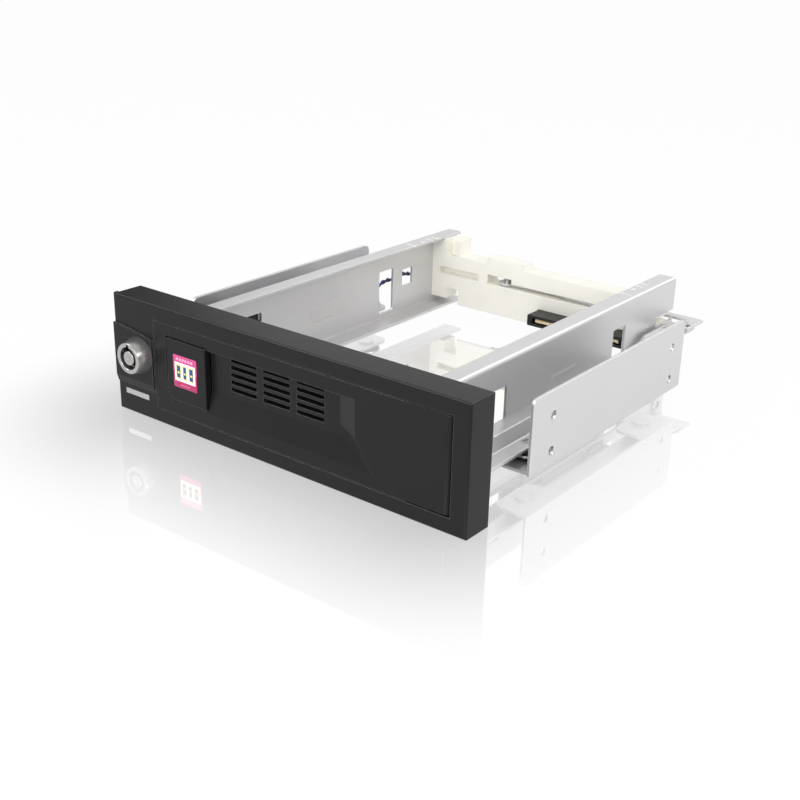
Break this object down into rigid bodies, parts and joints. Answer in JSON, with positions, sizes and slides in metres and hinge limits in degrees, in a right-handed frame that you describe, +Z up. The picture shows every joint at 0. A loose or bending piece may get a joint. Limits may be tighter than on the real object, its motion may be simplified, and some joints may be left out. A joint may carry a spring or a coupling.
{
  "type": "hot swap drive cage",
  "caption": "Trayless hot swap cage for a 5.25 inch bay: black bezel with lockable swing door, folded steel rails on rubber dampers, ivory rear beam with drive connector and eject lever.",
  "frame": {"origin": "under the middle of the whole cage, level with the lower edge of the front bezel", "axes": "+X to the right seen from the front, +Y from the bezel to the rear, +Z up"},
  "size_m": [0.148, 0.172, 0.042],
  "materials": {
    "black_abs": "fine grained charcoal ABS",
    "printed_label": null,
    "nickel_plate": "nickel plated, polished",
    "zinc_steel": "zinc plated steel",
    "black_nylon": "moulded black nylon",
    "light_guide": "milky light guide, unlit",
    "circuit_board": "glass epoxy board",
    "lead_sheath": "black and blue PVC sheath",
    "white_nylon": "moulded white nylon",
    "plated_sheet": "zinc plated sheet steel, satin",
    "black_rubber": "soft damping rubber",
    "ivory_abs": "moulded ivory ABS",
    "black_lcp": "connector plastic",
    "beige_lcp": "connector plastic",
    "gold_contacts": "gold flashed contacts"
  },
  "bodies": {
    "cage": {"front_bezel": "black_abs", "bezel_screws": "zinc_steel", "door_hinge_pins": "zinc_steel", "lock_barrel": "nickel_plate", "lock_nut": "nickel_plate", "lock_housing": "black_nylon", "light_bar": "light_guide", "light_board": "circuit_board", "light_lead": "lead_sheath", "lead_plug": "white_nylon", "right_side_rail": "plated_sheet", "left_side_rail": "plated_sheet", "right_float_bracket": "plated_sheet", "left_float_bracket": "plated_sheet", "right_mounting_wing": "plated_sheet", "left_mounting_wing": "plated_sheet", "damper_grommets": "black_rubber", "damper_washers": "zinc_steel", "damper_nuts": "zinc_steel", "damper_screws": "zinc_steel", "rear_cross_member": "ivory_abs", "cross_member_screws": "zinc_steel", "lever_pivot_pin": "zinc_steel", "guide_rivets": "zinc_steel", "backplane_board": "circuit_board", "board_screws": "zinc_steel", "sata_receptacle": "black_lcp", "sata_tongue": "beige_lcp", "sata_contacts": "gold_contacts", "rear_data_port": "black_lcp", "rear_power_port": "black_lcp"},
    "door_body": {"door": "black_abs", "crank_pin": "zinc_steel", "release_pins": "zinc_steel"},
    "release_body": {"release_plate": "black_abs", "release_label": "printed_label"},
    "plug_body": {"lock_plug": "nickel_plate", "lock_cam": "zinc_steel"},
    "bar_body": {"slide_bar": "plated_sheet", "link_pin": "zinc_steel"},
    "lever_body": {"eject_lever": "plated_sheet"}
  },
  "joints": [
    {"name": "door_hinge", "type": "hinge", "parent": "cage", "child": "door_body", "pos_m": [0.0659, -0.07805, 0.021], "axis": [0, 0, 1], "range_deg": [0, 95]},
    {"name": "release_hinge", "type": "hinge", "parent": "door_body", "child": "release_body", "pos_m": [-0.0471, -0.07945, 0.0217], "axis": [0, 0, -1], "range_deg": [0, 18], "stiffness_Nm_per_rad": 0.02},
    {"name": "lock_turn", "type": "hinge", "parent": "cage", "child": "plug_body", "pos_m": [-0.061, -0.07, 0.0229], "axis": [0, -1, 0], "range_deg": [0, 90]},
    {"name": "bar_slide", "type": "slide", "parent": "cage", "child": "bar_body", "axis": [0, -1, 0], "range_m": [0, 0.0121]},
    {"name": "lever_turn", "type": "hinge", "parent": "cage", "child": "lever_body", "pos_m": [-0.017, 0.07725, 0.0213], "axis": [0, 0, -1], "range_deg": [0, 8.8]}
  ],
  "couplings": [
    {"joint": "bar_slide", "follows": "door_hinge", "m_per_rad": 0.00723},
    {"joint": "lever_turn", "follows": "door_hinge", "ratio": 0.09007}
  ]
}
